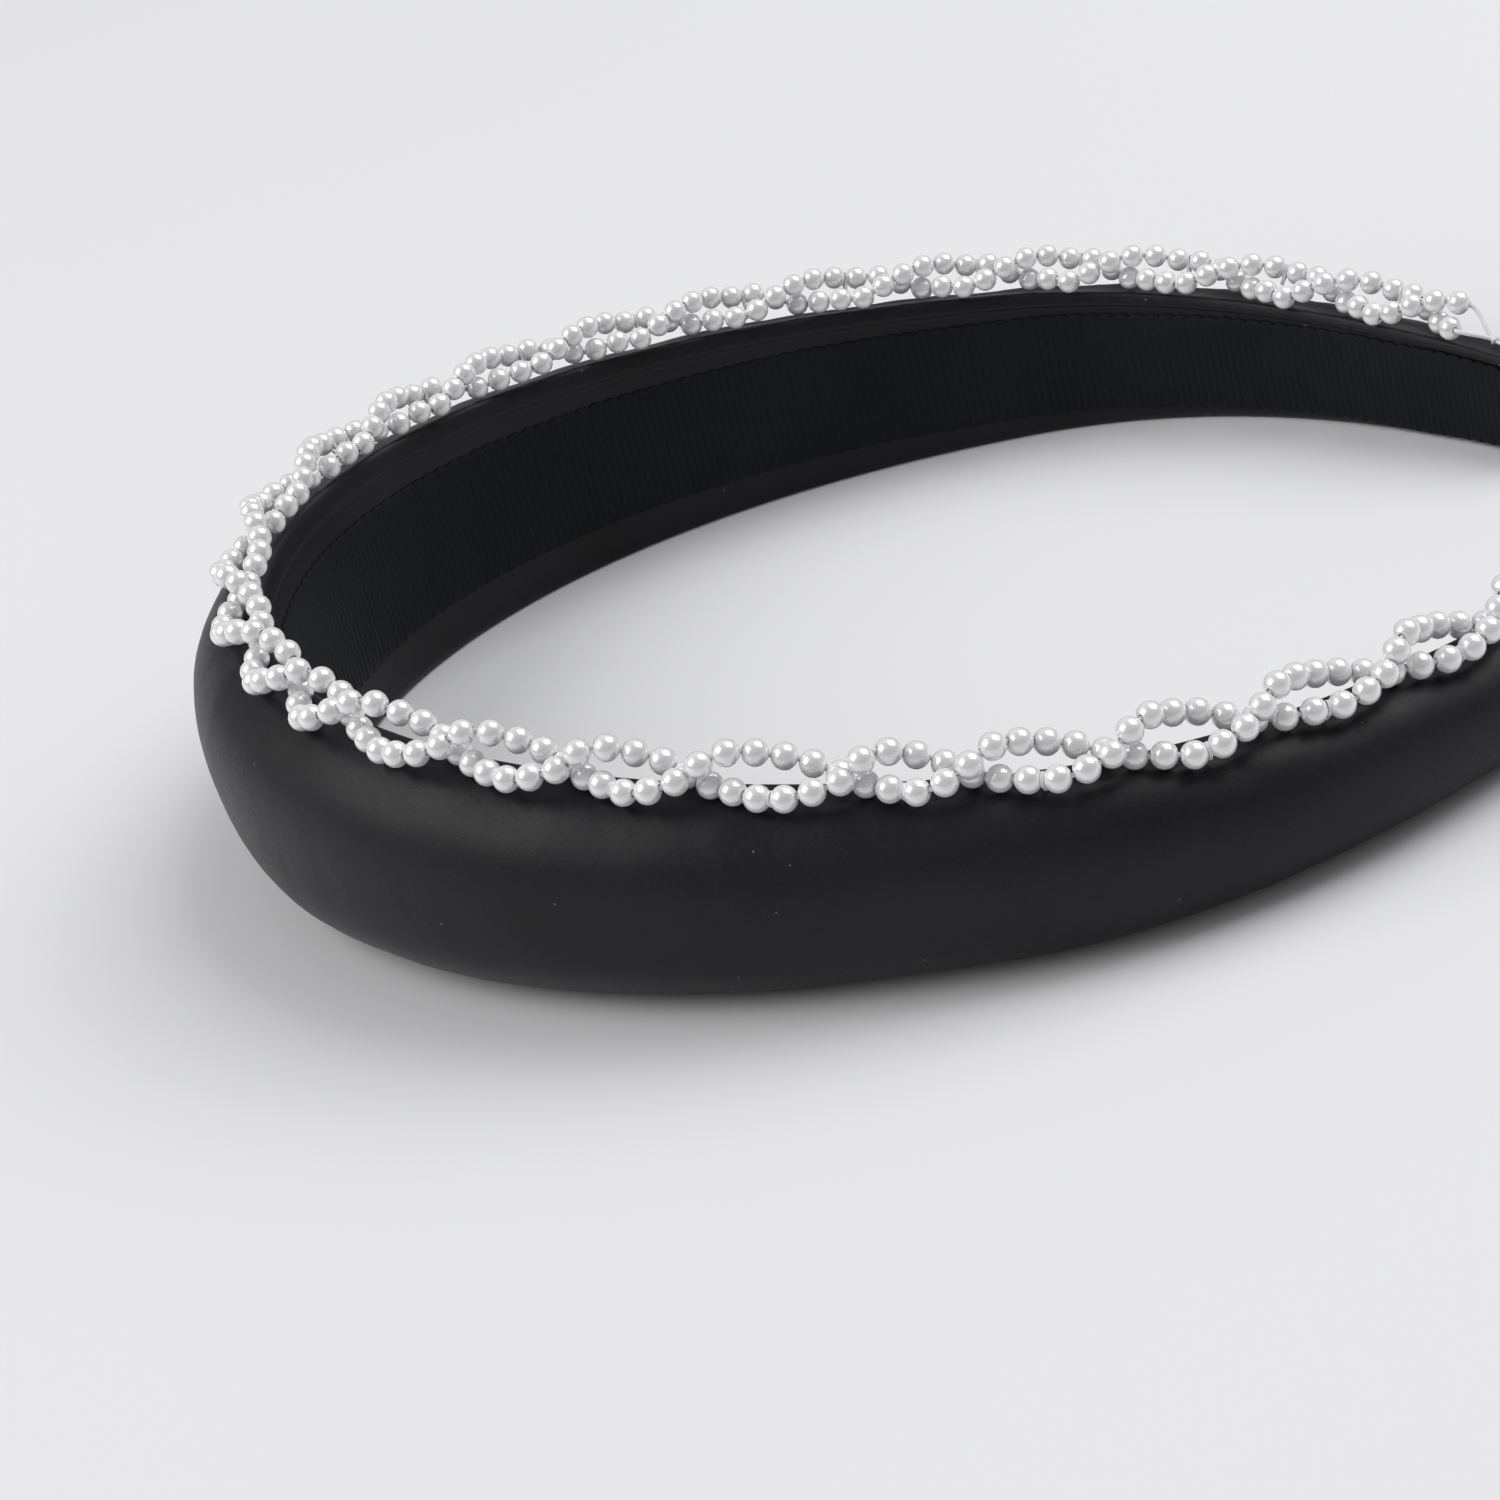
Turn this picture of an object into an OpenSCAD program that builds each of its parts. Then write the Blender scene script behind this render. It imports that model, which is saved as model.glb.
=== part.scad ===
// Padded satin headband with a twisted bead trim along one edge.
// The band is an open hoop that lies on its side: the arms run towards +X,
// the crown is at the -X end, and the lower edge of the hoop is on z = 0.
// Lengths are in millimetres. "left" is the -Y arm and "right" the +Y arm.
// The two halves meet at the crown (y = 0), where the hoop flexes.

/* [Hoop] */

// Half of the widest inside width, between the arms
half_width = 64; // [58:1:70]
// Distance from the crown's inner face to the widest point
crown_depth = 82; // [76:1:88]
// Distance from the crown's inner face to the tips
hoop_length = 147; // [140:1:152]
// Squareness of the crown curve, 2 is an ellipse
crown_power = 2.12; // [2.05:0.01:2.25]
// How fast the arms come back in towards the tips
arm_sweep = 0.0089; // [0.0070:0.0001:0.0095]

/* [Band] */

// Band width at the crown
width_crown = 31.4; // [28:0.2:34]
// Band width lost per millimetre towards the tips
width_taper = 0.128; // [0.110:0.002:0.130]
// Band thickness at the crown
thick_crown = 10.9; // [9.6:0.1:12]
// Thickness of the plastic strip inside
core_t = 1.5; // [1.2:0.1:1.8]
// Thickness of the satin cover
satin_t = 0.4; // [0.3:0.05:0.5]
// Thickness of the lining ribbon
ribbon_t = 0.5; // [0.4:0.05:0.7]

/* [Bead trim] */

// Diameter of one bead
bead_d = 2.9; // [2.6:0.05:2.95]
// Bore through a bead
bead_bore = 1.0; // [0.95:0.05:1.1]
// Diameter of the cord the beads are strung on
cord_d = 0.3; // [0.24:0.02:0.32]
// Mean arc length of one half twist of the two strands
half_twist = 14.1; // [13.9:0.1:14.8]
// Arc length from the crown to the last bead
trim_reach = 182; // [160:1:184]

/* [Hidden] */

shift_x = (thick_crown - hoop_length - 4.6) / 2;   // hoop centred on the origin
edge_r = 0.8;             // rounding of the band's inner edges
gap = 0.05;               // between layers
power = 2.3;              // fullness of the padded face
pivot_n = 12;             // the hoop flexes about a line this far outside the inner face
split = 0.15;             // half of the split between the halves, at that line
split_tan = tan(2.6);     // the split opens inward by this much per side
bead_pitch = 2.96;        // bead centre to bead centre along a strand
bead_first = 1.98;        // first bead centre from the crown plane

// ---- plan curve: a superellipse quarter, then a parabola that comes back in
quarter = [for (i = [0:60]) let (a = 1.5 * i)
    [crown_depth - crown_depth * pow(cos(a), 2 / crown_power), half_width * pow(sin(a), 2 / crown_power)]];
tail = [for (i = [1:24]) let (x = crown_depth + (hoop_length - crown_depth) * i / 24)
    [x, half_width - arm_sweep * pow(x - crown_depth, 2)]];
plan = concat(quarter, tail);
run = [for (i = 0, s = 0; i < len(plan); s = s + (i + 1 < len(plan) ? norm(plan[i + 1] - plan[i]) : 0), i = i + 1) s];
tab_x = [for (i = [0:len(plan) - 1]) [run[i], plan[i][0]]];
tab_y = [for (i = [0:len(plan) - 1]) [run[i], plan[i][1]]];
reach = run[len(run) - 1];

function sg(v) = v < 0 ? -1 : 1;
function cx(s) = lookup(abs(s), tab_x);
function cy(s) = sg(s) * lookup(abs(s), tab_y);
function tang(s) = let (h = 1.5, t = [cx(s + h) - cx(s - h), cy(s + h) - cy(s - h)]) t / norm(t);
function width(s) = width_crown - width_taper * cx(s);
function thick(s) = thick_crown * min(1, max(0.3, 0.45 + 0.55 * width(s) / width_crown));

// point at arc s, n outward from the inner face, z up
function at(s, n, z) = let (t = tang(s)) [cx(s) - t[1] * n + shift_x, cy(s) + t[0] * n, z];

// ---- sections, as [n, z] points
// the trim presses a shallow trough into the upper edge
function seat(n) = 0.8 * exp(-pow((n - 2.2) / 2.2, 2));
function crown_pt(w, t, ins, a) = let (n = edge_r + (t - ins - edge_r) * pow(cos(a), 2 / power),
    z = w / 2 + (w / 2 - ins) * sg(a) * pow(abs(sin(a)), 2 / power)) [n, z - (a > 0 ? seat(n) : 0)];
function corner(w, ins, a, up) = let (r = edge_r - ins, n = edge_r + r * cos(a))
    [n, up ? w - edge_r + r * sin(a) - seat(n) : edge_r - r * sin(a)];
arc_a = [87, 84, 80, 76, 72, 67, 60, 50, 36, 18, 0, -18, -36, -50, -66, -82];
arc_f = [90, 86, 81, 76, 71, 65, 58, 48, 36, 18, 0, -18, -36, -52, -70, -90] / 90;
function wrap(w, t, ins) = concat(
    [for (a = [180, 150, 120, 92]) corner(w, ins, a, true)],
    [for (a = arc_a) crown_pt(w, t, ins, a)],
    [for (a = [92, 120, 150, 180]) corner(w, ins, a, false)]);
function rev(v) = [for (i = [len(v) - 1:-1:0]) v[i]];
function flap(w) = 0.27 * w + 1;
// g = 1 is the open C of the cover; a small g fills it in, at the closed end of the arm
function ring_satin(w, t, g) = concat([[0, w - flap(w)]], wrap(w, t, 0), [[0, flap(w)]],
    [[satin_t, flap(w)]],
    [for (p = rev(wrap(w, t, satin_t))) [satin_t + (p[0] - satin_t) * g, p[1]]],
    [[satin_t, w - flap(w)]]);
function ring_core(w, t) = let (n0 = satin_t + gap, n1 = n0 + core_t)
    [[n0, w - edge_r - 0.65], [n1, w - edge_r - 0.8], [n1, edge_r], [n0, edge_r]];
function ring_foam(w, t) = let (ins = satin_t + 3 * gap, n1 = satin_t + 2 * gap + core_t,
    a0 = acos(pow((n1 - edge_r) / (t - ins - edge_r), power / 2)))
    [for (u = arc_f) crown_pt(w, t, ins, a0 * u)];
function ring_glue(w, t) = let (n0 = gap, n1 = satin_t, b = flap(w) + gap)
    [[n0, w - b], [n1, w - b], [n1, b], [n0, b]];
function ribbon_lo(w) = max(0.7, 0.8 + 0.36 * (w - 14.5));
function ribbon_hi(w) = w - 2.2 - 0.28 * (w - 14.5);
function ring_ribbon(w, t) = let (n0 = -gap - ribbon_t, n1 = -gap)
    [[n0, ribbon_hi(w)], [n1, ribbon_hi(w)], [n1, ribbon_lo(w)], [n0, ribbon_lo(w)]];

function ring(kind, w, t, g) = kind == 0 ? ring_satin(w, t, g) : kind == 1 ? ring_foam(w, t) :
    kind == 2 ? ring_core(w, t) : kind == 3 ? ring_ribbon(w, t) : ring_glue(w, t);

// the satin end is rounded over the last 4 mm of the arm
function end_f(s) = let (u = reach - abs(s)) u > 4 ? 1 : sqrt(1 - 0.6 * pow((4 - u) / 4, 2));
function placed(kind, s, first) = let (w = width(s), f = kind == 0 ? end_f(s) : 1,
    t = thick(s) * (0.5 + 0.5 * f), g = s > reach - 0.9 ? 0.06 : 1)
    [for (p = ring(kind, w, t, g)) let (z = w / 2 + (p[1] - w / 2) * f)
        first ? [-p[0] + shift_x, split + (pivot_n - p[0]) * split_tan, z]
              : at(s, p[0], z)];

// solid through a list of rings of equal length
// doubled = true when the second half of a ring runs back along the first, as in the C of the cover
module skin(rings, flip, doubled = false) {
    m = len(rings[0]);
    k = len(rings);
    pts = [for (r = rings) for (p = r) p];
    sides = [for (i = [0:k - 2]) for (j = [0:m - 1]) let (a = i * m + j, b = i * m + (j + 1) % m, c = b + m, d = a + m)
        each [[a, b, c], [a, c, d]]];
    q = (k - 1) * m;
    caps = doubled
        ? [for (j = [0:m / 2 - 2]) let (a = j, b = j + 1, c = m - 2 - j, d = m - 1 - j)
            each [[a, c, b], [a, d, c], [q + a, q + b, q + c], [q + a, q + c, q + d]]]
        : [[for (j = [m - 1:-1:0]) j], [for (j = [0:m - 1]) q + j]];
    all_f = concat(sides, caps);
    polyhedron(points = pts, faces = flip ? all_f : [for (f = all_f) rev(f)], convexity = 10);
}

stations = 30;
function st(i, last) = let (a = 4) a + (last - a) * i / stations;
module layer(kind, side, s_end, tip) {
    s_list = concat([for (i = [0:stations]) st(i, s_end)], tip);
    rings = concat([placed(kind, 0, true)], [for (s = s_list) placed(kind, s, false)]);
    if (side > 0) skin(rings, true, kind == 0);
    else mirror([0, 1, 0]) skin(rings, true, kind == 0);
}

// ---- bead trim: two strands twisted round each other along the upper edge
// arc positions where the strands cross: about every 14 mm, a little uneven as hand twisting leaves them
crossings = [-202, -188, -174, -160, -145, -131, -117, -106, -90, -77, -63, -48, -38, -26, -11.5, 5, 20.5,
             34.5, 48.5, 63.5, 78, 92, 107.5, 121, 133.5, 149, 163, 177, 191, 205];
turns = [for (i = [0:len(crossings) - 1]) [crossings[i] * half_twist / 14.1, i]];
// layout along the arc, each as [arc, value]
// middle of the trim, outward from the inner face
mid_n = [[-60, 3.2], [-44, 3.1], [-28, 2.5], [-5, 2.3], [12, 2], [30, 1.7], [62, 1.6], [85, 1.9]];
// lean outward of the loops and of the crossings, in degrees
lean = [[-60, 34], [-44, 32], [-28, 26], [-5, 22], [12, 10], [30, -8], [62, -14], [85, -18]];
cross_lean = [[-60, 62], [-44, 48], [-28, 30], [-5, 22], [12, 10], [30, -8], [62, -14], [85, -18]];
// height over the edge at the loops and at the crossings
loop_z = [[-60, 1.9], [-44, 1.85], [-28, 1.7], [-5, 1.65], [12, 1.8], [30, 1.95], [62, 2], [85, 1.9], [200, 1.85]];
cross_z = [[-60, 1.6], [-44, 1.85], [-28, 2.2], [-5, 2.4], [12, 2.4], [30, 2.35], [85, 2.35], [200, 2.3]];
// rise of both strands just before a crossing, and of the lower strand on both sides of it
rise = [[-60, 0.7], [-44, 0.5], [-28, 0.1], [-5, 0]];
climb = [[-60, 0], [-44, 0.4], [-28, 1.2], [-5, 1.2], [12, 1.5], [30, 1.8], [62, 2]];
// half of the gap between the strands at the loops; two loops are wider than the rest
half_gap = [[-200, 2.2], [-152, 2.2], [-138, 2.6], [-124, 2.2], [-111, 2.15], [-98, 2.55], [-83, 2.2], [-55, 2.25],
            [-32, 2.35], [-19, 2.5], [-3, 2.5], [27, 2.35], [70, 2.25], [128, 2.2], [200, 2.3]];
over = 1.5;   // at a crossing one strand is this far to one side of the middle and the other strand to the other
// a strand's point, from the inner top edge
function strand(s, k) = let (q = 180 * (lookup(s, turns) + k), g = lookup(s, half_gap),
    a = lookup(s, lean), b = lookup(s, cross_lean),
    n = lookup(s, mid_n) + g * sin(q) * cos(a) + over * cos(q) * sin(b),
    z = lookup(s, loop_z) + (lookup(s, cross_z) - lookup(s, loop_z)) * pow(cos(q), 2)
        - g * sin(q) * sin(a) + over * cos(q) * cos(b)
        + lookup(s, rise) * max(0, -sin(2 * q)) * (1 + 0.75 * cos(q))
        + lookup(s, climb) * max(0, -cos(q)) * pow(sin(q), 2))
    at(s, n, width(s) + z);
// the cord keeps to the middle of each bore: it lies a little outside the beads' own curve
function cord_at(s, k) = 1.5 * strand(s, k) - 0.25 * (strand(s - 1.3, k) + strand(s + 1.3, k));
function next_bead(s, d, k) = let (p = strand(s, k),
    s1 = s + d * 2.6, s2 = s + (s1 - s) * bead_pitch / norm(strand(s1, k) - p),
    s3 = s + (s2 - s) * bead_pitch / norm(strand(s2, k) - p))
    s + (s3 - s) * bead_pitch / norm(strand(s3, k) - p);
function beads(s, d, k) = abs(s) > trim_reach ? [] : concat([s], beads(next_bead(s, d, k), d, k));
function heading(s, k) = let (v = strand(s + 0.4, k) - strand(s - 0.4, k)) v / norm(v);

// turns +Z onto the direction v
module along(v) {
    rotate([0, acos(v[2] / norm(v)), atan2(v[1], v[0])]) children();
}

module bead_row(side, k) {
    for (s = beads(side * bead_first, side, k))
        translate(strand(s, k)) along(heading(s, k))
            difference() {
                sphere(d = bead_d, $fn = 32);
                cylinder(d = bead_bore, h = bead_d + 1, center = true, $fn = 16);
            }
}

module cord(side, k) {
    row = beads(side * bead_first, side, k);
    s0 = side * 0.9;
    s1 = row[len(row) - 1] + side * 2.0;
    count = ceil(abs(s1 - s0) / 1.5);
    rings = [for (i = [0:count]) let (s = s0 + (s1 - s0) * i / count, c = cord_at(s, k), h = heading(s, k),
        e = cross([0, 0, 1], h) / norm(cross([0, 0, 1], h)), f = cross(h, e))
        [for (j = [0:5]) c + cord_d / 2 * (cos(60 * j) * e + sin(60 * j) * f)]];
    skin(rings, side < 0);
}

// a small loop round the cord between two beads of the outer row, with one leg to the satin
module stitches(side) {
    for (k = [0, 1]) {
        row = beads(side * bead_first, side, k);
        for (i = [0:len(row) - 2]) {
            qa = 180 * (lookup(row[i], turns) + k) - 90;
            qb = 180 * (lookup(row[i + 1], turns) + k) - 90;
            if (floor(qa / 360) != floor(qb / 360)) {
                s = (row[i] + row[i + 1]) / 2;
                h = heading(s, k);
                t = tang(s);
                // inward and down, across the strand
                a = [t[1] * 0.55, -t[0] * 0.55, -0.84];
                b = a - (a * h) * h;
                d = b / norm(b);
                translate((strand(row[i], k) + strand(row[i + 1], k)) / 2) {
                    along(h) rotate_extrude($fn = 24) translate([0.78, 0]) circle(d = 0.22, $fn = 14);
                    translate(0.8 * d) along(d) cylinder(d = 0.22, h = 0.5, $fn = 14);
                }
            }
        }
    }
}

// both cords are tied off just past the last beads
module knot(side) {
    s = side * (trim_reach + 3.4);
    translate(at(s, 2.6, width(s) + 0.05)) {
        difference() {
            sphere(d = 1.5, $fn = 24);
            translate([0, 0, -1.2]) cube([2, 2, 1], center = true);
        }
    }
}

satin_c = [0.06, 0.06, 0.07];
module hoop_core(side) color([0.25, 0.25, 0.26]) layer(2, side, reach - 2.2, []);
module foam_pad(side) color([0.85, 0.84, 0.80]) layer(1, side, reach - 2.0, []);
module satin_cover(side) color(satin_c)
    layer(0, side, reach - 4, [reach - 3, reach - 2, reach - 1.2, reach - 0.6, reach]);
module adhesive_film(side) color([0.8, 0.78, 0.7]) layer(4, side, reach - 5, []);
module lining_ribbon(side) color([0.08, 0.08, 0.09]) layer(3, side, reach - 4.5, []);

module hoop_core_left() { hoop_core(-1); }
module hoop_core_right() { hoop_core(1); }
module foam_pad_left() { foam_pad(-1); }
module foam_pad_right() { foam_pad(1); }
module satin_cover_left() { satin_cover(-1); }
module satin_cover_right() { satin_cover(1); }
module adhesive_film_left() { adhesive_film(-1); }
module adhesive_film_right() { adhesive_film(1); }
module lining_ribbon_left() { lining_ribbon(-1); }
module lining_ribbon_right() { lining_ribbon(1); }
module beads_a_left() color([0.93, 0.92, 0.94]) bead_row(-1, 0);
module beads_a_right() color([0.93, 0.92, 0.94]) bead_row(1, 0);
module beads_b_left() color([0.93, 0.92, 0.94]) bead_row(-1, 1);
module beads_b_right() color([0.93, 0.92, 0.94]) bead_row(1, 1);
module cord_a_left() color([0.9, 0.9, 0.9]) cord(-1, 0);
module cord_a_right() color([0.9, 0.9, 0.9]) cord(1, 0);
module cord_b_left() color([0.9, 0.9, 0.9]) cord(-1, 1);
module cord_b_right() color([0.9, 0.9, 0.9]) cord(1, 1);
module tacking_stitches_left() color([0.88, 0.88, 0.88]) stitches(-1);
module tacking_stitches_right() color([0.88, 0.88, 0.88]) stitches(1);
module end_knot_left() color([0.88, 0.88, 0.88]) knot(-1);
module end_knot_right() color([0.88, 0.88, 0.88]) knot(1);

hoop_core_left();
hoop_core_right();
foam_pad_left();
foam_pad_right();
satin_cover_left();
satin_cover_right();
adhesive_film_left();
adhesive_film_right();
lining_ribbon_left();
lining_ribbon_right();
beads_a_left();
beads_a_right();
beads_b_left();
beads_b_right();
cord_a_left();
cord_a_right();
cord_b_left();
cord_b_right();
tacking_stitches_left();
tacking_stitches_right();
end_knot_left();
end_knot_right();
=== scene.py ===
"""Padded black satin headband with a twisted two-strand bead trim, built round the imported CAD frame."""
import bpy
import bmesh
import math
import numpy as np
from mathutils import Matrix, Vector


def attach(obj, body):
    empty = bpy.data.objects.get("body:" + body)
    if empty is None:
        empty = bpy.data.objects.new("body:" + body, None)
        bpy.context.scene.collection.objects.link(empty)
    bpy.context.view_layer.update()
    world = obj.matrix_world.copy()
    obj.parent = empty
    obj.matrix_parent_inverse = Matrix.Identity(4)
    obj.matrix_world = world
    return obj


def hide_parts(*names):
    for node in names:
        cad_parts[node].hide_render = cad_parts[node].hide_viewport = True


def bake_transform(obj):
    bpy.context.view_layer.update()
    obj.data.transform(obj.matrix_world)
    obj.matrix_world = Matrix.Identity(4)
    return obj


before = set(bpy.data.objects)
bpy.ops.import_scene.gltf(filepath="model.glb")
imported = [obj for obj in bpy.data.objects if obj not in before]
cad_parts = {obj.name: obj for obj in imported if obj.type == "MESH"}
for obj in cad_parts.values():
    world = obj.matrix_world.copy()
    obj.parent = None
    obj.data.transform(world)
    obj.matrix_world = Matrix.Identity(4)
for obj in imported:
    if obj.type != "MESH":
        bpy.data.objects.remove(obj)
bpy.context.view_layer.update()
MM = 0.001

# ------------------------------------------------------------------ hoop, in mm (the CAD's own rules)
HW, CD, HL, CP, AS = 64.0, 82.0, 147.0, 2.12, 0.0089
W0, WT, T0 = 31.4, 0.128, 10.9
SX = (T0 - HL - 4.6) / 2
_a = np.radians(np.linspace(0, 90, 361))
_q = np.c_[CD - CD * np.abs(np.cos(_a)) ** (2 / CP), HW * np.sin(_a) ** (2 / CP)]
_q[-1] = [CD, HW]
_x = CD + (HL - CD) * np.arange(1, 121) / 120
PLAN = np.r_[_q, np.c_[_x, HW - AS * (_x - CD) ** 2]]
RUN = np.r_[0, np.cumsum(np.hypot(*np.diff(PLAN, axis=0).T))]
REACH = RUN[-1]


def cx(s):
    return np.interp(np.abs(s), RUN, PLAN[:, 0])


def cy(s):
    return np.sign(s) * np.interp(np.abs(s), RUN, PLAN[:, 1])


def tang(s):
    h = 2.0
    v = np.stack([cx(s + h) - cx(s - h), cy(s + h) - cy(s - h)], -1)
    end = np.abs(s) > REACH - h
    if np.any(end):
        g = np.sign(s) * (REACH - h)
        e = np.stack([cx(g + h * .99) - cx(g - h), cy(g + h * .99) - cy(g - h)], -1)
        v = np.where(end[..., None], e, v)
    return v / np.linalg.norm(v, axis=-1, keepdims=True)


def width(s):
    return W0 - WT * cx(s)


def thick(s):
    return T0 * np.clip(0.45 + 0.55 * width(s) / W0, 0.3, 1)


def at(s, n, z):
    """arc s, n outward from the inner face, z up, all mm -> row frame, mm"""
    s, n, z = np.broadcast_arrays(np.asarray(s, float), np.asarray(n, float), np.asarray(z, float))
    t = tang(s)
    over = np.sign(s) * np.maximum(np.abs(s) - REACH, 0)
    x = cx(s) + SX - t[..., 1] * n + t[..., 0] * over
    y = cy(s) + t[..., 0] * n + t[..., 1] * over
    return np.stack([x, y, z], -1)


def smooth(v):
    c = np.clip(v, 0, 1)
    return c * c * (3 - 2 * c)


# ------------------------------------------------------------------ bead trim route (the CAD's own rules)
CROSS = np.array([-202, -188, -174, -160, -145, -131, -117, -106, -90, -77, -63, -48, -38, -26, -11.5, 5, 20.5,
                  34.5, 48.5, 63.5, 78, 92, 107.5, 121, 133.5, 149, 163, 177, 191, 205], float)
BEAD_D, PITCH, TRIM = 2.9, 2.96, 182.0


def turn(s):
    return np.interp(s, CROSS, np.arange(len(CROSS)))


# arc, middle outward, lean of the loops, lean of the crossings, height at loops, at crossings, rise, climb
LAY = np.array([[-60, 3.2, 34, 62, 1.9, 1.6, 0.7, 0], [-44, 3.1, 32, 48, 1.85, 1.85, 0.5, 0.4],
                [-28, 2.5, 26, 30, 1.7, 2.2, 0.1, 1.2], [-5, 2.3, 22, 22, 1.65, 2.4, 0, 1.2], [12, 2.0, 10, 10, 1.8, 2.4, 0, 1.5],
                [30, 1.7, -8, -8, 1.95, 2.35, 0, 1.8], [62, 1.6, -14, -14, 2.0, 2.35, 0, 2], [85, 1.9, -18, -18, 1.9, 2.35, 0, 2],
                [200, 1.9, -18, -18, 1.85, 2.3, 0, 2]], float)
HALF = np.array([[-200, 2.2], [-152, 2.2], [-138, 2.6], [-124, 2.2], [-111, 2.15], [-98, 2.55], [-83, 2.2], [-55, 2.25],
                 [-32, 2.35], [-19, 2.5], [-3, 2.5], [27, 2.35], [70, 2.25], [128, 2.2], [200, 2.3]], float)
OVER = 1.5


def strand(s, k):
    s = np.asarray(s, float)
    q = np.pi * (turn(s) + k)
    nc, ph, pc, zl, zc, rise, climb = (np.interp(s, LAY[:, 0], LAY[:, i]) for i in range(1, 8))
    ph, pc = np.radians(ph), np.radians(pc)
    g = np.interp(s, HALF[:, 0], HALF[:, 1])
    n = nc + g * np.sin(q) * np.cos(ph) + OVER * np.cos(q) * np.sin(pc)
    z = zl + (zc - zl) * np.cos(q) ** 2 - g * np.sin(q) * np.sin(ph) + OVER * np.cos(q) * np.cos(pc)
    z = z + rise * np.maximum(0, -np.sin(2 * q)) * (1 + 0.75 * np.cos(q)) + climb * np.maximum(0, -np.cos(q)) * np.sin(q) ** 2
    return at(s, n, width(s) + z), n, z


def P(s, k):
    return strand(s, k)[0]


def bead_row(k):
    """arc positions of the beads of one strand, end to end without a break"""
    rows = []
    for d in (-1, 1):
        s, row = d * PITCH / 2 * 0.97, []
        while abs(s) <= TRIM:
            row.append(s)
            p = P(s, k)
            t = s + d * 2.6
            for _ in range(4):
                t = s + (t - s) * PITCH / np.linalg.norm(P(t, k) - p)
            s = t
        rows.append(row)
    return np.array(rows[0][::-1] + rows[1])


def heading(s, k):
    v = P(s + 0.4, k) - P(s - 0.4, k)
    return v / np.linalg.norm(v, axis=-1, keepdims=True)


ROWS = [bead_row(0), bead_row(1)]


def stitch_sites():
    """the bead gap nearest to the outermost point of each loop: (arc, strand, i)"""
    out = []
    for k in (0, 1):
        r = ROWS[k]
        qa = turn(r) + k - 0.5
        for i in range(len(r) - 1):
            if math.floor(qa[i] / 2) != math.floor(qa[i + 1] / 2):
                out.append(((r[i] + r[i + 1]) / 2, k, i))
    return sorted(out)


SITES = stitch_sites()

# ------------------------------------------------------------------ small deterministic noise
_rng = np.random.RandomState(7)
_tab = _rng.rand(64, 64)


def noise2(u, v, seed=0):
    """smooth value noise in -1..1, numpy arrays"""
    u = np.asarray(u, float) + seed * 17.3
    v = np.asarray(v, float) + seed * 9.1
    iu, iv = np.floor(u).astype(int), np.floor(v).astype(int)
    fu, fv = u - iu, v - iv
    fu, fv = fu * fu * (3 - 2 * fu), fv * fv * (3 - 2 * fv)
    g = lambda a, b: _tab[a % 64, b % 64]
    r = (g(iu, iv) * (1 - fu) + g(iu + 1, iv) * fu) * (1 - fv) + (g(iu, iv + 1) * (1 - fu) + g(iu + 1, iv + 1) * fu) * fv
    return r * 2 - 1


# ------------------------------------------------------------------ mesh helpers
def new_mesh(name, verts_mm, faces, smooth_shade=True):
    me = bpy.data.meshes.new(name)
    me.from_pydata((np.asarray(verts_mm) * MM).tolist(), [], faces)
    me.validate()
    if smooth_shade:
        me.polygons.foreach_set("use_smooth", [True] * len(me.polygons))
    me.update()
    ob = bpy.data.objects.new(name, me)
    bpy.context.scene.collection.objects.link(ob)
    return ob


def fix_normals(ob):
    bm = bmesh.new()
    bm.from_mesh(ob.data)
    bmesh.ops.recalc_face_normals(bm, faces=bm.faces)
    bm.to_mesh(ob.data)
    bm.free()
    ob.data.update()


def loft(rings, close_ring=True, cap=True):
    """rings: (k, m, 3) -> verts, quad faces; capped with fans at both ends"""
    k, m = rings.shape[:2]
    verts = rings.reshape(-1, 3)
    faces = []
    mm = m if close_ring else m - 1
    for i in range(k - 1):
        for j in range(mm):
            a, b = i * m + j, i * m + (j + 1) % m
            faces.append((a, b, b + m, a + m))
    if cap:
        c0, c1 = rings[0].mean(0), rings[-1].mean(0)
        n = len(verts)
        verts = np.r_[verts, [c0, c1]]
        for j in range(m):
            faces.append((n, (j + 1) % m, j))
            faces.append((n + 1, (k - 1) * m + j, (k - 1) * m + (j + 1) % m))
    return verts, faces


def bend(ob):
    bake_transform(ob)


# ------------------------------------------------------------------ band sections
EDGE, POWER = 0.8, 2.3


def ribbon_lo(w):
    return np.maximum(0.7, 0.8 + 0.36 * (w - 14.5))


def ribbon_hi(w):
    return w - 2.2 - 0.28 * (w - 14.5)


def flap(w):
    return 0.27 * w + 1


def seat(n):
    return 0.8 * np.exp(-((n - 2.2) / 2.2) ** 2)


ARC = np.radians(np.linspace(86, -86, 45))


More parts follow.
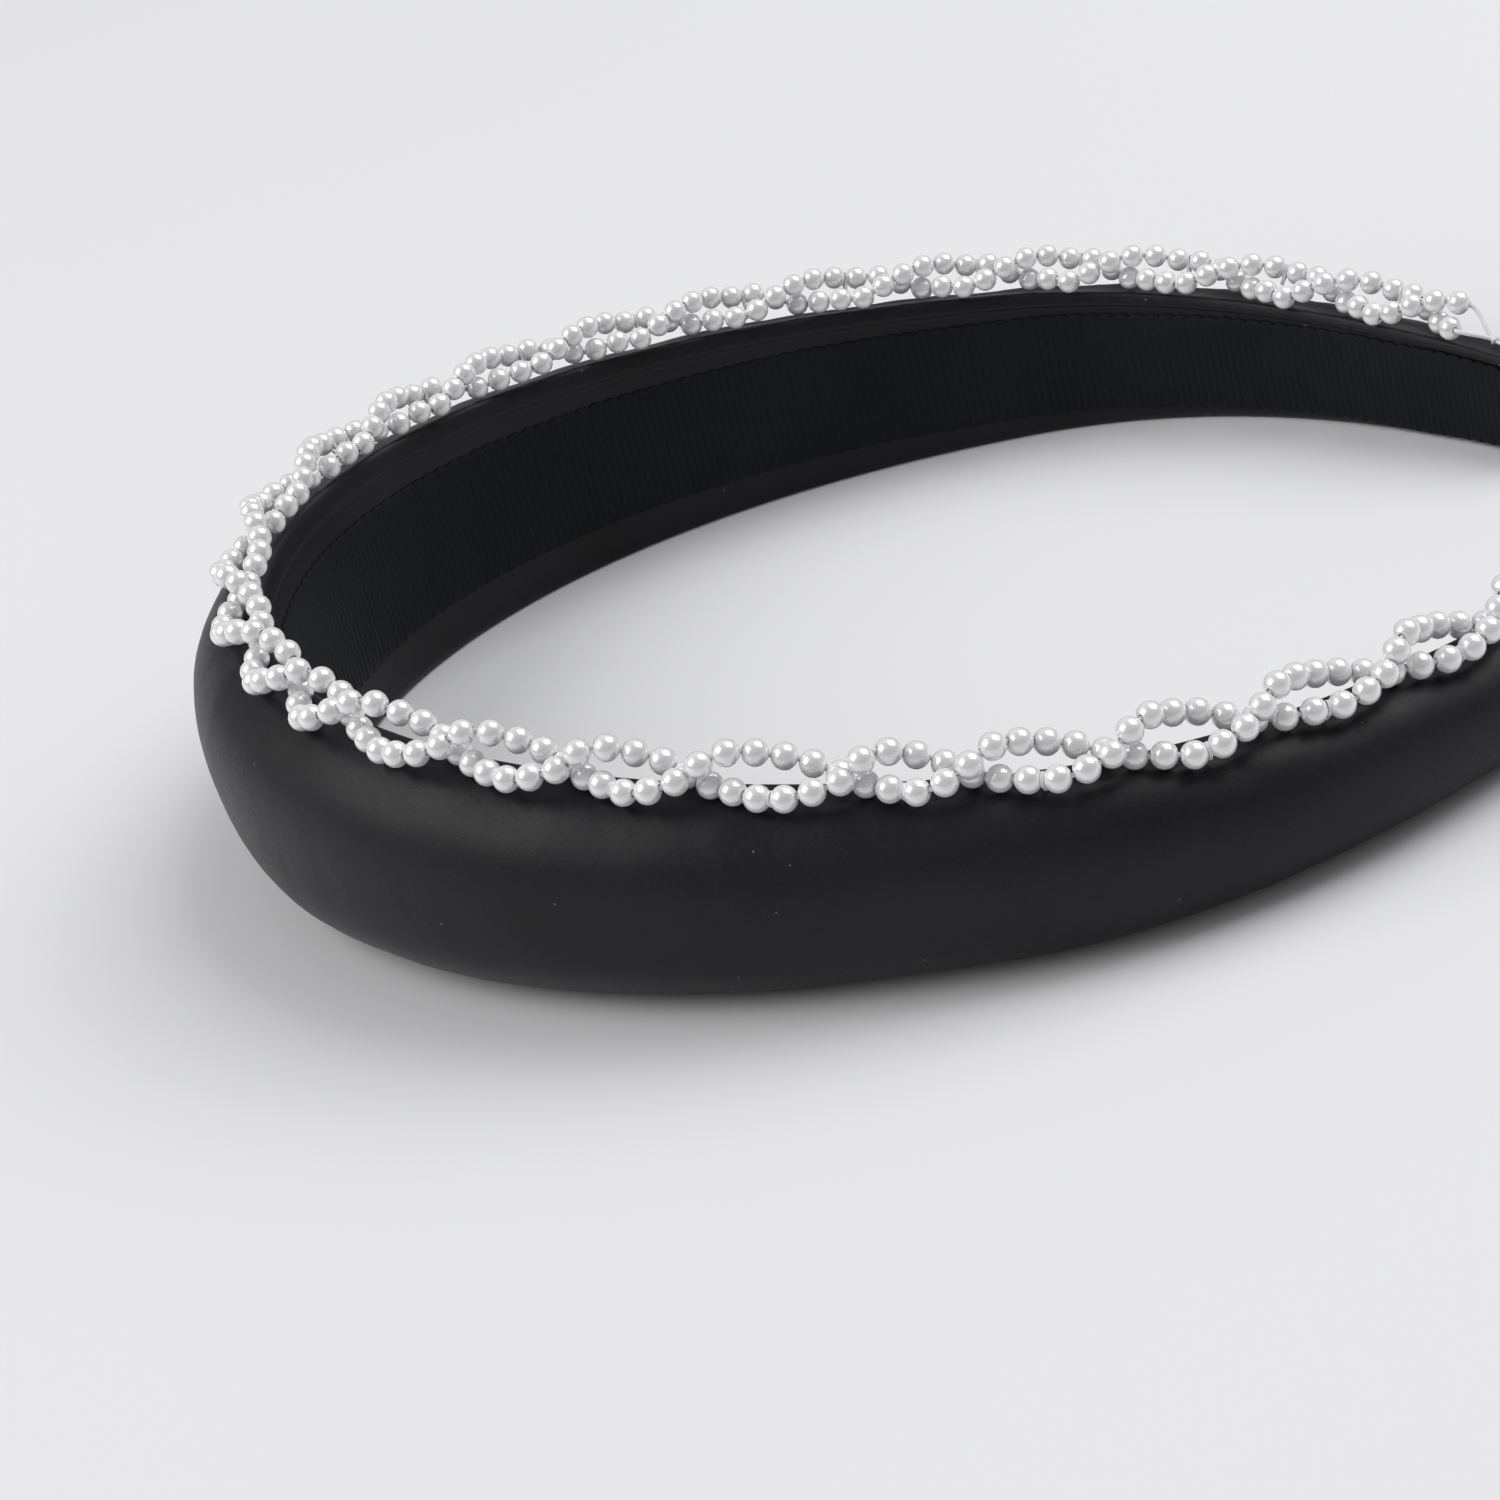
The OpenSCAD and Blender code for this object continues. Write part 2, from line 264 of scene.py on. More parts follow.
def satin_profile(w, t, closing):
    """outer skin of the cover at one station, from the upper flap's raw edge round the outside to the lower one: (m, 2) of n, z"""
    fl = flap(w) * (1 - closing) + (w / 2 - 0.03) * closing
    ridge = 0.105 * w
    up = []
    # inner face above the flap's raw edge, under and above the lining, with the rolled ridge
    for z in np.linspace(w - fl, ribbon_hi(w) + 0.35, 5):
        up.append((0.0, z))
    zr = w - ridge
    for dz, n in ((-1.5, 0.0), (-0.95, 0.05), (-0.55, 0.10), (-0.30, 0.02), (-0.12, -0.16), (0.08, -0.27), (0.36, -0.27), (0.75, -0.18), (1.2, -0.05)):
        z = zr + dz * min(1, ridge / 2.4)
        if z > up[-1][1] + 0.08:
            up.append((n, z))
    z0 = up[-1][1]
    n0 = up[-1][0]
    # roll over the upper edge: a tall quarter ellipse
    for a in np.radians([25, 42, 57, 70, 81]):
        nr = n0 + (1.15 - n0) * (1 - np.cos(a))
        up.append((nr, z0 + (w - z0) * np.sin(a) - seat(nr) * np.sin(a) ** 2))
    e = 1.15
    body = []
    for a in ARC:
        n = e + (t - e) * np.cos(a) ** (2 / POWER)
        z = w / 2 + w / 2 * np.sign(np.sin(a)) * np.abs(np.sin(a)) ** (2 / POWER)
        if a > 0:
            z -= seat(n)
        body.append((n, z))
    down = [(e * (1 - np.sin(a)), 1.4 * (1 - np.cos(a))) for a in np.radians([12, 30, 50, 70, 88])]
    for z in np.linspace(1.75, max(fl, 1.9), 6):
        down.append((0.0, z))
    return np.array(up + body + down)


def inset(prof, d):
    """moves an open profile to its inner side by d"""
    t = np.gradient(prof, axis=0)
    t /= np.linalg.norm(t, axis=1, keepdims=True) + 1e-9
    nn = np.c_[t[:, 1], -t[:, 0]]
    c = prof.mean(0)
    mid = len(prof) // 2
    if np.dot(c - prof[mid], nn[mid]) < 0:
        nn = -nn
    return prof + nn * d


def resample(prof, m):
    d = np.r_[0, np.cumsum(np.linalg.norm(np.diff(prof, axis=0), axis=1))]
    u = np.linspace(0, d[-1], m)
    return np.c_[np.interp(u, d, prof[:, 0]), np.interp(u, d, prof[:, 1])]


def keep_spacing(prof, m):
    """resample by the profile's own parameter, so that fine features keep their points"""
    i = np.linspace(0, len(prof) - 1, m)
    j = np.arange(len(prof))
    return np.c_[np.interp(i, j, prof[:, 0]), np.interp(i, j, prof[:, 1])]


M_PROF = 72
SATIN_T = 0.34


def satin_disp(s, prof, w):
    """displacement of the outer skin along its own normal: hollows at the tacking stitches, puckers that run down from them, slow unevenness"""
    n, z = prof[:, 0], prof[:, 1]
    on = smooth((n - 1.2) / 1.5)
    d = np.zeros(len(prof))
    length = np.r_[0, np.cumsum(np.linalg.norm(np.diff(prof, axis=0), axis=1))]
    for (ss, k, i) in SITES:
        ds = s - ss
        if abs(ds) > 16:
            continue
        _, sn, sz = strand(ss, k)
        j = np.argmin((n - sn) ** 2 + (z - (w + sz)) ** 2)
        dv = length - length[j]
        d -= 0.34 * np.exp(-(ds / 3.0) ** 2 - (dv / 2.0) ** 2)
        below = smooth((dv - 0.3) / 1.5) * np.exp(-np.maximum(dv, 0) / 5.5)
        lean = ds - 0.25 * dv * np.sign(ds)
        d += 0.05 * below * np.cos(2 * np.pi * lean / 5.2) * np.exp(-(ds / 6.5) ** 2)
    d += 0.16 * noise2(s / 17 + 3, length / 12, 1) + 0.07 * noise2(s / 6.5, length / 7, 2)
    d += 0.035 * noise2(s / 2.3, length / 6.0, 5)
    return d * on


def cloth_moves(profs):
    """Cloth simulation of the cover's outer sheet, inflated from inside over the pad.

    The sheet is a coarse grid of the outer skin, a few per cent too long beside the trim, held at the
    glued flaps, at the tips and at every tacking stitch.  Returns how far each profile point moves, in n and z."""
    up = 50.0                                   # the sheet is simulated fifty times its size
    ii = np.unique(np.r_[np.arange(0, len(profs), 2), len(profs) - 1])
    jj = np.unique(np.r_[np.arange(0, M_PROF, 2), M_PROF - 1])
    pts, keep = [], []
    for i in ii:
        s, w, f, q = profs[i]
        z = w / 2 + (q[jj, 1] - w / 2) * f
        pts.append(at(s, q[jj, 0] * (0.4 + 0.6 * f), z))
        keep.append((s, w, q[jj]))
    pts = np.array(pts)
    K, M = pts.shape[:2]
    faces = [(i * M + j, i * M + j + 1, (i + 1) * M + j + 1, (i + 1) * M + j) for i in range(K - 1) for j in range(M - 1)]
    me = bpy.data.meshes.new("cover_sheet")
    me.from_pydata((pts.reshape(-1, 3) * MM * up).tolist(), [], faces)
    me.update()
    ob = bpy.data.objects.new("cover_sheet", me)
    bpy.context.scene.collection.objects.link(ob)
    bm = bmesh.new()
    bm.from_mesh(me)
    bmesh.ops.recalc_face_normals(bm, faces=bm.faces)
    bm.faces.ensure_lookup_table()
    fc = bm.faces[(K // 2) * (M - 1) + M // 2]
    if fc.normal.x > 0:                         # at the crown the outside faces -X
        bmesh.ops.reverse_faces(bm, faces=bm.faces)
    bm.to_mesh(me)
    bm.free()
    pin = np.zeros((K, M))
    slack = np.zeros((K, M))
    for a, (s, w, q) in enumerate(keep):
        flat_in = (q[:, 0] < 0.9)
        pin[a, flat_in] = 1.0
        if REACH - abs(s) < 9:
            pin[a] = 1.0
        top = smooth((q[:, 1] - (w - 9.0)) / 6.0) * smooth((q[:, 0] - 1.5) / 2.0)
        slack[a] = top
        for (ss, k, _) in SITES:
            if abs(s - ss) < 1.3:
                _, sn, sz = strand(ss, k)
                b = int(np.argmin((q[:, 0] - sn) ** 2 + (q[:, 1] - (w + sz)) ** 2))
                pin[a, b] = 1.0
    vp = ob.vertex_groups.new(name="pin")
    vs = ob.vertex_groups.new(name="slack")
    for idx, (p_, s_) in enumerate(zip(pin.ravel(), slack.ravel())):
        if p_ > 0:
            vp.add([idx], 1.0, "REPLACE")
        vs.add([idx], float(s_), "REPLACE")
    md = ob.modifiers.new("Cloth", "CLOTH")
    c = md.settings
    c.quality = 6
    c.mass = 0.25
    c.tension_stiffness = c.compression_stiffness = 22
    c.shear_stiffness = 8
    c.bending_stiffness = 0.25
    c.air_damping = 3
    c.use_pressure = True
    c.uniform_pressure_force = 4.0
    c.vertex_group_mass = "pin"
    c.pin_stiffness = 1.0
    c.vertex_group_shrink = "slack"
    c.shrink_min = 0.0
    c.shrink_max = -0.045
    c.effector_weights.gravity = 0
    md.collision_settings.use_collision = False
    md.collision_settings.use_self_collision = False
    sc = bpy.context.scene
    md.point_cache.frame_start, md.point_cache.frame_end = 1, 20
    for fr in range(1, 21):
        sc.frame_set(fr)
    dg = bpy.context.evaluated_depsgraph_get()
    ev = ob.evaluated_get(dg)
    out = np.empty(len(ev.data.vertices) * 3)
    ev.data.vertices.foreach_get("co", out)
    out = out.reshape(K, M, 3) / (MM * up)
    sc.frame_set(1)
    bpy.data.objects.remove(ob, do_unlink=True)
    bpy.data.meshes.remove(me)
    d = out - pts
    # into each station's own n and z, with the travel capped
    dn, dz = np.zeros((K, M)), np.zeros((K, M))
    for a, (s, w, q) in enumerate(keep):
        t = tang(np.array(s))
        dn[a] = d[a, :, 0] * -t[1] + d[a, :, 1] * t[0]
        dz[a] = d[a, :, 2]
    size = np.hypot(dn, dz)
    cap = 0.55
    lim = cap * np.tanh(size / cap) / np.maximum(size, 1e-9)
    dn, dz = dn * lim, dz * lim
    print("cover sheet simulated:", K, "x", M, "largest move", round(float(size.max()), 2), "mm, mean", round(float(size.mean()), 3))
    res = []
    full_j = np.arange(M_PROF)
    fn_ = np.array([np.interp(full_j, jj, r_) for r_ in dn])
    fz_ = np.array([np.interp(full_j, jj, r_) for r_ in dz])
    full_i = np.arange(len(profs))
    fn_ = np.array([np.interp(full_i, ii, fn_[:, j]) for j in range(M_PROF)]).T
    fz_ = np.array([np.interp(full_i, ii, fz_[:, j]) for j in range(M_PROF)]).T
    for i, (s, w, f, q) in enumerate(profs):
        # nothing rises out of the trough under the trim
        a_, b_ = fn_[i].copy(), fz_[i].copy()
        over = (q[:, 1] > w / 2) & (q[:, 0] < 7.2) & (b_ > 0)
        b_[over] *= 0.0
        res.append(np.c_[a_, b_])
    return res


def make_satin():
    core = np.arange(-(REACH - 5.0), REACH - 5.0 + 1e-6, 0.85)
    core = np.linspace(-(REACH - 5.0), REACH - 5.0, len(core))
    tip = REACH - 5.0 + np.array([0.5, 1.0, 1.5, 2.0, 2.5, 3.0, 3.4, 3.8, 4.1, 4.4])
    S = np.r_[-tip[::-1], core, tip]
    outer, inner = [], []
    profs = []
    for s in S:
        w, t = float(width(s)), float(thick(s))
        u = REACH - abs(s)
        closing = float(smooth((6.5 - u) / 3.0))
        f = math.sqrt(max(0.0, 1 - 0.62 * (max(0.0, 4.6 - u) / 4.0) ** 2))
        prof = keep_spacing(satin_profile(w, t, closing), M_PROF)
        tt = np.gradient(prof, axis=0)
        tt /= np.linalg.norm(tt, axis=1, keepdims=True) + 1e-9
        nn = np.c_[-tt[:, 1], tt[:, 0]]
        mid = len(prof) // 2
        if nn[mid, 0] < 0:
            nn = -nn
        prof = prof + nn * (satin_disp(s, prof, w) * smooth((u - 3) / 6))[:, None]
        profs.append((s, w, f, prof))
    moved = cloth_moves(profs)
    for (s, w, f, prof), mv in zip(profs, moved):
        prof = prof + mv
        ins = inset(prof, SATIN_T)
        for q, dst in ((prof, outer), (ins, inner)):
            q = q.copy()
            q[:, 1] = w / 2 + (q[:, 1] - w / 2) * f
            q[:, 0] = q[:, 0] * (0.4 + 0.6 * f)
            q[:, 1] = np.maximum(q[:, 1], 0.0)
            dst.append((s, q))
    rings_o = np.array([at(s, q[:, 0], q[:, 1]) for s, q in outer])
    rings_i = np.array([at(s, q[:, 0], q[:, 1]) for s, q in inner])
    # rounded closed tips: shrink the last ring towards its middle while going on outward
    def tips(rings, prof_list, grow):
        out = rings
        for side in (1, -1):
            s, q = prof_list[-1] if side > 0 else prof_list[0]
            c = np.array([q[:, 0].mean() * 0.9, q[:, 1].mean()])
            extra = []
            for a in np.radians([25, 45, 62, 76, 86]):
                g = math.cos(a)
                qq = c + (q - c) * g
                extra.append(at(s + side * grow * math.sin(a), qq[:, 0], qq[:, 1]))
            extra = np.array(extra)
            out = np.concatenate([out, extra]) if side > 0 else np.concatenate([extra[::-1], out])
        return out
    rings_o = tips(rings_o, outer, 0.75)
    rings_i = tips(rings_i, inner, 0.35)
    k, m = rings_o.shape[:2]
    verts = np.concatenate([rings_o.reshape(-1, 3), rings_i.reshape(-1, 3)])
    off = k * m
    faces = []
    for i in range(k - 1):
        for j in range(m - 1):
            a = i * m + j
            faces.append((a, a + 1, a + 1 + m, a + m))
            faces.append((off + a, off + a + m, off + a + 1 + m, off + a + 1))
        for j in (0, m - 1):
            a = i * m + j
            faces.append((a, a + m, off + a + m, off + a))
    for i in (0, k - 1):
        for j in range(m - 1):
            a = i * m + j
            faces.append((a, a + 1, off + a + 1, off + a))
    ob = new_mesh("satin_cover", verts, faces)
    fix_normals(ob)
    return ob


def make_ribbon():
    step = 0.125
    L = REACH - 4.6
    S = np.arange(-L, L + 1e-6, step)
    w = width(S)
    rib = np.abs(np.cos(np.pi * S / 1.0))            # ribs 1 mm apart
    rib = 0.12 * (1 - (1 - rib) ** 2)
    frac = (S / 2.0) % 1.0
    scal = np.sqrt(np.clip(1 - (2 * frac - 1) ** 2, 0, 1)) ** 0.8 * 0.5   # scallops 2 mm apart
    wave = 0.12 * noise2(S / 9.0, S * 0 + 2.2, 3)
    hi = ribbon_hi(w) - 0.28 + scal + wave
    lo = ribbon_lo(w) + 0.28 - scal + 0.6 * wave
    fr = np.array([0.0, 0.012, 0.05, 0.15, 0.32, 0.5, 0.68, 0.85, 0.95, 0.988, 1.0])
    crown = np.array([0.0, 0.6, 0.92, 1.0, 1.0, 1.0, 1.0, 1.0, 0.92, 0.6, 0.0])
    face = -0.05 - (0.30 + 0.0 * rib)[:, None] * (0.25 + 0.75 * crown)[None, :] - rib[:, None] * crown[None, :]
    z = lo[:, None] + (hi - lo)[:, None] * fr[None, :]
    back_n = np.full((len(S), 2), -0.05)
    back_z = np.stack([hi - 0.05, lo + 0.05], 1)
    n_all = np.concatenate([face, back_n], 1)
    z_all = np.concatenate([z, back_z], 1)
    rings = at(S[:, None], n_all, z_all)
    v, f = loft(rings)
    ob = new_mesh("lining_ribbon", v, f)
    fix_normals(ob)
    length = float(np.sum(np.linalg.norm(np.diff(rings[:, 5], axis=0), axis=1))) * MM
    wid = float(np.mean(hi - lo)) * MM
    return ob, wid, 2 * L * MM


def make_bar(name, section, L, step=2.0):
    S = np.linspace(-L, L, int(2 * L / step) + 1)
    rings = []
    for s in S:
        q = np.array(section(float(width(s)), float(thick(s))))
        rings.append(at(s, q[:, 0], q[:, 1]))
    v, f = loft(np.array(rings))
    ob = new_mesh(name, v, f)
    fix_normals(ob)
    return ob


def core_section(w, t):
    n0, n1, r = 0.45, 1.95, 0.3
    z0, z1 = 0.95, w - 1.1
    return [(n0, z1 - r), (n0 + r * .3, z1 - r * .3), (n0 + r, z1), (n1 - r, z1), (n1 - r * .3, z1 - r * .3), (n1, z1 - r),
            (n1, z0 + r), (n1 - r * .3, z0 + r * .3), (n1 - r, z0), (n0 + r, z0), (n0 + r * .3, z0 + r * .3), (n0, z0 + r)]


def foam_section(w, t):
    ins, n1 = 1.1, 2.05
    a0 = math.acos(((n1 - 1.15) / (t - ins - 1.15)) ** (POWER / 2))
    out = []
    for a in np.linspace(a0, -a0, 25):
        n = 1.15 + (t - ins - 1.15) * math.cos(a) ** (2 / POWER)
        z = w / 2 + (w / 2 - ins) * math.copysign(abs(math.sin(a)) ** (2 / POWER), a)
        out.append((n, z - (seat(n) if a > 0 else 0)))
    return out


def glue_section(w, t):
    b = flap(w) + 0.1
    return [(0.05, w - b), (0.38, w - b), (0.38, b), (0.05, b)]


def make_beads(k, name):
    """every bead is a turned form with a real bore along the cord"""
    r, rb = BEAD_D / 2, 0.38
    a0 = math.asin(rb / r)
    prof = [(rb * 0.98, r * 0.80), (rb * 0.985, r * 0.925)]
    for a in np.linspace(a0 * 1.18, math.pi - a0 * 1.18, 19):
        prof.append((r * math.sin(a), r * math.cos(a)))
    prof += [(rb * 0.985, -r * 0.925), (rb * 0.98, -r * 0.80)]
    prof = np.array(prof)
    nseg = 28
    th = np.linspace(0, 2 * math.pi, nseg, endpoint=False)
    base = np.stack([prof[:, 0][:, None] * np.cos(th), prof[:, 0][:, None] * np.sin(th), np.repeat(prof[:, 1][:, None], nseg, 1)], -1)
    rng = np.random.RandomState(40 + k)
    verts, faces = [], []
    mm = len(prof)
    for s in ROWS[k]:
        c = P(s, k)
        h = heading(s, k)
        e = np.cross([0, 0, 1.0], h)
        e /= np.linalg.norm(e)
        f = np.cross(h, e)
        sc = 1 + rng.uniform(-0.012, 0.004)
        v = base.reshape(-1, 3) * sc
        v = c + v[:, :1] * e + v[:, 1:2] * f + v[:, 2:3] * h
        off = len(verts) * mm * nseg
        verts.append(v)
        for i in range(mm - 1):
            for j in range(nseg):
                a, b = i * nseg + j, i * nseg + (j + 1) % nseg
                faces.append((off + a, off + a + nseg, off + b + nseg, off + b))
        # inner wall of the bore joins the two mouths
        for j in range(nseg):
            a, b = j, (j + 1) % nseg
            c0, c1 = (mm - 1) * nseg + j, (mm - 1) * nseg + (j + 1) % nseg
            faces.append((off + a, off + b, off + c1, off + c0))
    ob = new_mesh(name, np.concatenate(verts), faces)
    fix_normals(ob)
    return ob


def tube(points, radius, sides=10):
    pts = np.asarray(points, float)
    t = np.gradient(pts, axis=0)
    t /= np.linalg.norm(t, axis=1, keepdims=True)
    up = np.array([0, 0, 1.0])
    rings = []
    e = np.cross(up, t[0])
    e /= np.linalg.norm(e) + 1e-9
    for p, h in zip(pts, t):
        e = e - np.dot(e, h) * h
        e /= np.linalg.norm(e) + 1e-9
        f = np.cross(h, e)
        a = np.linspace(0, 2 * math.pi, sides, endpoint=False)
        rings.append(p + radius * (np.cos(a)[:, None] * e + np.sin(a)[:, None] * f))
    return loft(np.array(rings))


def knot_point(side):
    s = side * (TRIM + 3.4)
    return at(s, 2.6, float(width(s)) + 0.05)


def drop(p0, h, side):
    """the cord's last stretch, from the last bead down to the knot on the satin"""
    p3 = knot_point(side)
    t = tang(np.array(float(side * (TRIM + 3.4))))
    e = np.array([t[0], t[1], 0.0]) * side
    p1, p2 = p0 + h * 1.1, p3 - e * 1.2 + np.array([0, 0, 0.35])
    u = np.linspace(0.12, 1, 9)[:, None]
    return (1 - u) ** 3 * p0 + 3 * (1 - u) ** 2 * u * p1 + 3 * (1 - u) * u ** 2 * p2 + u ** 3 * p3


def make_cord(k, name):
    r = ROWS[k]
    s = np.arange(r[0] - 1.6, r[-1] + 1.6, 0.35)
    pts = 1.5 * P(s, k) - 0.25 * (P(s - 1.3, k) + P(s + 1.3, k))
    a = drop(pts[0], heading(s[0], k) * -1, -1)[::-1]
    b = drop(pts[-1], heading(s[-1], k), 1)
    v, f = tube(np.concatenate([a, pts, b]), 0.26, 10)
    ob = new_mesh(name, v, f)
    fix_normals(ob)
    return ob


def join(parts):
    verts, faces, off = [], [], 0
    for v, f in parts:
        verts.append(np.asarray(v))
        faces += [tuple(i + off for i in q) for q in f]
        off += len(v)
    return np.concatenate(verts), faces


def make_stitches():
    """two turns of thread round the cord between two beads, each going down into the satin"""
    parts = []
    for (s, k, i) in SITES:
        r = ROWS[k]
        c = (P(r[i], k) + P(r[i + 1], k)) / 2
        h = heading(s, k)
        t = tang(np.array(s))
        a = np.array([t[1] * 0.55, -t[0] * 0.55, -0.84])
        a = a - np.dot(a, h) * h
        a /= np.linalg.norm(a)
        b = np.cross(h, a)
        for shift in (-0.10, 0.10):
            ang = np.radians(np.linspace(-32, 212, 26))
            loop = [c + h * shift + 0.72 * (np.sin(x) * -a + np.cos(x) * b) for x in ang]
            lead = [loop[0] + a * q + b * (-0.28 * q) for q in (1.5, 1.0, 0.5)]
            tail = [loop[-1] + a * q + b * (0.28 * q) for q in (0.5, 1.0, 1.5)]
            parts.append(tube(np.array(lead + loop + tail), 0.10, 8))
    v, f = join(parts)
    ob = new_mesh("tacking_stitches", v, f)
    fix_normals(ob)
    return ob


def make_knot(side, name):
    """an overhand knot of the two cords, with two short tails"""
    c = knot_point(side)
    t = tang(np.array(float(side * TRIM)))
    h = np.array([t[0], t[1], 0]) * side
    e = np.array([-h[1], h[0], 0])
    up = np.array([0, 0, 1.0])
    a = np.linspace(0, 2 * math.pi, 60)
    tre = [c + 0.34 * ((np.sin(x) + 2 * np.sin(2 * x)) * h * 0.42 + (np.cos(x) - 2 * np.cos(2 * x)) * e * 0.42 - np.sin(3 * x) * up * 0.8) for x in a[:-1]]
    tre.append(tre[0])
    parts = [tube(np.array(tre), 0.20, 9)]
    for q in (-1, 1):
        tail = [c + h * x + e * q * (0.12 + 0.22 * x) + up * (-0.05 - 0.10 * x * x) for x in np.linspace(0.1, 2.0, 9)]
        parts.append(tube(np.array(tail), 0.16, 8))
    v, f = join(parts)
    ob = new_mesh(name, v, f)
    fix_normals(ob)
    return ob


# ------------------------------------------------------------------ materials
def mat(name):
    m = bpy.data.materials.new(name)
    m.use_nodes = True
    nt = m.node_tree
    nt.nodes.clear()
    out = nt.nodes.new("ShaderNodeOutputMaterial")
    b = nt.nodes.new("ShaderNodeBsdfPrincipled")
    nt.links.new(b.outputs[0], out.inputs[0])
    return m, nt, b


def node(nt, kind, **kw):
    n = nt.nodes.new(kind)
    for k, v in kw.items():
        if k in n.inputs:
            n.inputs[k].default_value = v
        else:
            setattr(n, k, v)
    return n


def coords(nt, scale=(1, 1, 1), rot=(0, 0, 0)):
    tc = nt.nodes.new("ShaderNodeTexCoord")
    mp = nt.nodes.new("ShaderNodeMapping")
    mp.inputs["Scale"].default_value = scale
    mp.inputs["Rotation"].default_value = rot
    nt.links.new(tc.outputs["Object"], mp.inputs["Vector"])
    return mp.outputs["Vector"]


def ramp(nt, fac, stops):
    r = nt.nodes.new("ShaderNodeValToRGB")
    els = r.color_ramp.elements
    while len(els) < len(stops):
        els.new(0.5)
    for el, (p, c) in zip(els, stops):
        el.position = p
        el.color = (*c, 1) if len(c) == 3 else c
    nt.links.new(fac, r.inputs["Fac"])
    return r.outputs["Color"]


def mix_val(nt, a, b, op="ADD", clamp=False):
    n = nt.nodes.new("ShaderNodeMath")
    n.operation = op
    n.use_clamp = clamp
    for i, v in enumerate((a, b)):
        if isinstance(v, (int, float)):
            n.inputs[i].default_value = v
        else:
            nt.links.new(v, n.inputs[i])
    return n.outputs[0]


def bump(nt, height, strength, dist, prev=None):
    n = nt.nodes.new("ShaderNodeBump")
    n.inputs["Strength"].default_value = strength
    n.inputs["Distance"].default_value = dist
    nt.links.new(height, n.inputs["Height"])
    if prev is not None:
        nt.links.new(prev, n.inputs["Normal"])
    return n.outputs["Normal"]


def fabric(name, dark, light, rough, thread_scale, sheen, weave_strength, spec=0.3, lint=0.0):
    m, nt, b = mat(name)
    v = coords(nt)
    slow = node(nt, "ShaderNodeTexNoise", Scale=42.0, Detail=4.0, Roughness=0.6)
    nt.links.new(v, slow.inputs["Vector"])
    fine = node(nt, "ShaderNodeTexNoise", Scale=thread_scale, Detail=3.0, Roughness=0.7)
    nt.links.new(v, fine.inputs["Vector"])
    v2 = coords(nt, (1, 1, 2.2))
    grain = node(nt, "ShaderNodeTexNoise", Scale=thread_scale * 1.9, Detail=2.0, Roughness=0.8)
    nt.links.new(v2, grain.inputs["Vector"])
    tone = mix_val(nt, mix_val(nt, slow.outputs["Fac"], 0.6, "MULTIPLY"), mix_val(nt, fine.outputs["Fac"], 0.45, "MULTIPLY"))
    cloth = ramp(nt, tone, [(0.36, dark), (0.68, light)])
    if lint:
        dust = node(nt, "ShaderNodeTexVoronoi", Scale=250.0)
        nt.links.new(v, dust.inputs["Vector"])
        speck = ramp(nt, dust.outputs["Distance"], [(0.0, (1, 1, 1)), (0.030, (1, 1, 1)), (0.040, (0, 0, 0))])
        mx = nt.nodes.new("ShaderNodeMix")
        mx.data_type = "RGBA"
        mx.inputs["B"].default_value = (lint, lint, lint, 1)
        nt.links.new(speck, mx.inputs["Factor"])
        nt.links.new(cloth, mx.inputs["A"])
        cloth = mx.outputs["Result"]
    nt.links.new(cloth, b.inputs["Base Color"])
    rr = nt.nodes.new("ShaderNodeMapRange")
    rr.inputs["From Min"].default_value = 0.3
    rr.inputs["From Max"].default_value = 0.7
    rr.inputs["To Min"].default_value = rough - 0.05
    rr.inputs["To Max"].default_value = rough + 0.07
    nt.links.new(fine.outputs["Fac"], rr.inputs["Value"])
    nt.links.new(rr.outputs["Result"], b.inputs["Roughness"])
    h = mix_val(nt, grain.outputs["Fac"], mix_val(nt, fine.outputs["Fac"], 0.5, "MULTIPLY"))
    mottle = node(nt, "ShaderNodeTexNoise", Scale=thread_scale * 0.34, Detail=2.0, Roughness=0.6)
    nt.links.new(v, mottle.inputs["Vector"])
    n0 = bump(nt, mottle.outputs["Fac"], weave_strength * 0.55, 0.00012)
    n1 = bump(nt, h, weave_strength, 0.00006, n0)
    nt.links.new(n1, b.inputs["Normal"])
    b.inputs["Specular IOR Level"].default_value = spec
    b.inputs["Sheen Weight"].default_value = sheen
    b.inputs["Sheen Roughness"].default_value = 0.35
    b.inputs["Sheen Tint"].default_value = (0.9, 0.92, 1.0, 1)
    return m


